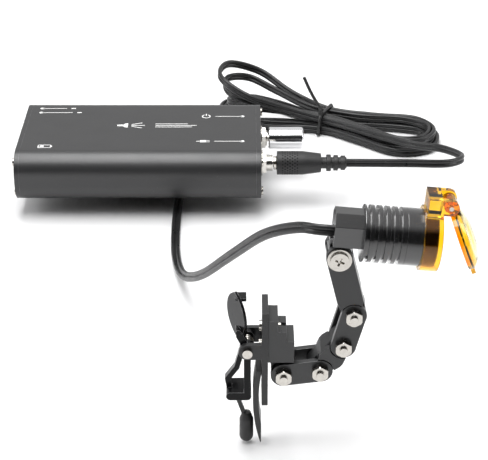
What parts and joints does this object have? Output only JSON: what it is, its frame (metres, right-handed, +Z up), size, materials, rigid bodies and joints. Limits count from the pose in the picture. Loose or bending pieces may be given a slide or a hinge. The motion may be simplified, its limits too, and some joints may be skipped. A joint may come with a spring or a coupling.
{
  "type": "clip-on headlight for dental loupes",
  "caption": "Small finned lamp with a flip-up amber filter on a jointed clip-on arm, wired by a coiled flex to a belt-worn battery pack with dimmer knob.",
  "frame": {"origin": "middle of the belt clip's flat foot, under the middle of the battery pack, at the level the pack rests on", "axes": "+Z up, +X along the pack towards its knob and output socket, +Y away from the lamp"},
  "size_m": [0.1953, 0.2892, 0.0933],
  "materials": {
    "black_anodised": "satin black anodised, bead blasted",
    "black_arm": "black anodised, machined flats",
    "black_lamp": "black anodised, turned",
    "bright_steel": "bright stainless",
    "nickel": "nickel plated",
    "chrome": "polished",
    "black_plastic": "moulded, fine grain",
    "black_gloss": "moulded, glossy",
    "black_rubber": "soft, matt",
    "flex_jacket": "soft PVC",
    "tie_wire": "plastic coated wire",
    "spring_strip": "black spring steel",
    "cell_wrap": "shrink wrap",
    "board": "solder mask",
    "red_lens": "translucent",
    "ceramic_board": "white coated core board",
    "phosphor": "silicone dome",
    "clear_optic": "moulded clear",
    "amber_clear": "moulded translucent orange"
  },
  "bodies": {
    "root": {"pack_shell": "black_anodised", "left_end_plate": "black_anodised", "right_end_plate": "black_anodised", "end_plate_screws": "bright_steel", "battery_cells": "cell_wrap", "circuit_board": "board", "charge_socket": "black_plastic", "charge_indicator": "red_lens", "dimmer_body": "nickel", "dimmer_nut": "nickel", "output_socket": "nickel", "output_nut": "nickel", "belt_clip": "spring_strip", "belt_clip_screws": "bright_steel", "cable": "flex_jacket", "cable_tie": "tie_wire", "lamp_block": "black_lamp", "heat_sink": "black_lamp", "lens_barrel": "black_lamp", "led_board": "ceramic_board", "led_chip": "phosphor", "collimator": "clear_optic", "front_lens": "clear_optic", "lens_retainer": "black_lamp"},
    "knob": {"dimmer_shaft": "bright_steel", "dimmer_knob": "chrome"},
    "plug": {"plug_overmould": "black_rubber", "plug_pin": "nickel"},
    "filter": {"filter_ring": "amber_clear", "filter_hinge_pin": "bright_steel"},
    "cover": {"filter_cover": "amber_clear"},
    "upper_arm": {"upper_link": "black_arm", "tilt_screw": "bright_steel", "tilt_nut": "bright_steel"},
    "middle_arm": {"middle_link_plates": "black_arm", "middle_link_bolts": "bright_steel", "middle_link_nuts": "bright_steel"},
    "elbow": {"elbow_link": "black_arm"},
    "lower_arm": {"lower_link_plates": "black_arm", "lower_link_bolts": "bright_steel", "lower_link_nuts": "bright_steel"},
    "clip": {"clip_bracket": "black_arm", "clip_base": "black_plastic", "clip_paddle": "black_plastic", "clip_screws": "bright_steel", "clip_pivot_pin": "bright_steel", "clip_spring": "bright_steel"},
    "jaw": {"clip_lever": "black_gloss", "prong_wire": "black_plastic", "prong_tip": "black_rubber"}
  },
  "joints": [
    {"name": "dimmer_turn", "type": "hinge", "parent": "root", "child": "knob", "pos_m": [0.0556, 0.0125, 0.018], "axis": [1, 0, 0], "range_deg": [0, 300]},
    {"name": "plug_pull", "type": "slide", "parent": "root", "child": "plug", "axis": [1, 0, 0], "range_m": [0, 0.015], "deforming": ["cable"]},
    {"name": "filter_pull", "type": "slide", "parent": "root", "child": "filter", "axis": [0.9962, 0, -0.0872], "range_m": [0, 0.012]},
    {"name": "cover_flip", "type": "hinge", "parent": "filter", "child": "cover", "pos_m": [0.10729, -0.185, 0.09006], "axis": [0, -1, 0], "range_deg": [-26, 130]},
    {"name": "lamp_pivot", "type": "hinge", "parent": "root", "child": "upper_arm", "pos_m": [0.074, -0.185, 0.073], "axis": [0, 1, 0], "range_deg": [-12, 90]},
    {"name": "upper_joint", "type": "hinge", "parent": "upper_arm", "child": "middle_arm", "pos_m": [0.0792, -0.185, 0.05214], "axis": [0, -1, 0], "range_deg": [-31.5, 88.5]},
    {"name": "elbow_joint", "type": "hinge", "parent": "middle_arm", "child": "elbow", "pos_m": [0.07625, -0.185, 0.04071], "axis": [0, 1, 0], "range_deg": [-83, 37]},
    {"name": "lower_joint", "type": "hinge", "parent": "elbow", "child": "lower_arm", "pos_m": [0.06906, -0.185, 0.03135], "axis": [0, -1, 0], "range_deg": [-15.5, 104.5]},
    {"name": "clip_pivot", "type": "hinge", "parent": "lower_arm", "child": "clip", "pos_m": [0.05738, -0.185, 0.02971], "axis": [0, 1, 0], "range_deg": [-80, 4]},
    {"name": "jaw_open", "type": "hinge", "parent": "clip", "child": "jaw", "pos_m": [0.04578, -0.185, 0.03921], "axis": [0, 1, 0], "range_deg": [0, 10], "stiffness_Nm_per_rad": 0.01}
  ]
}
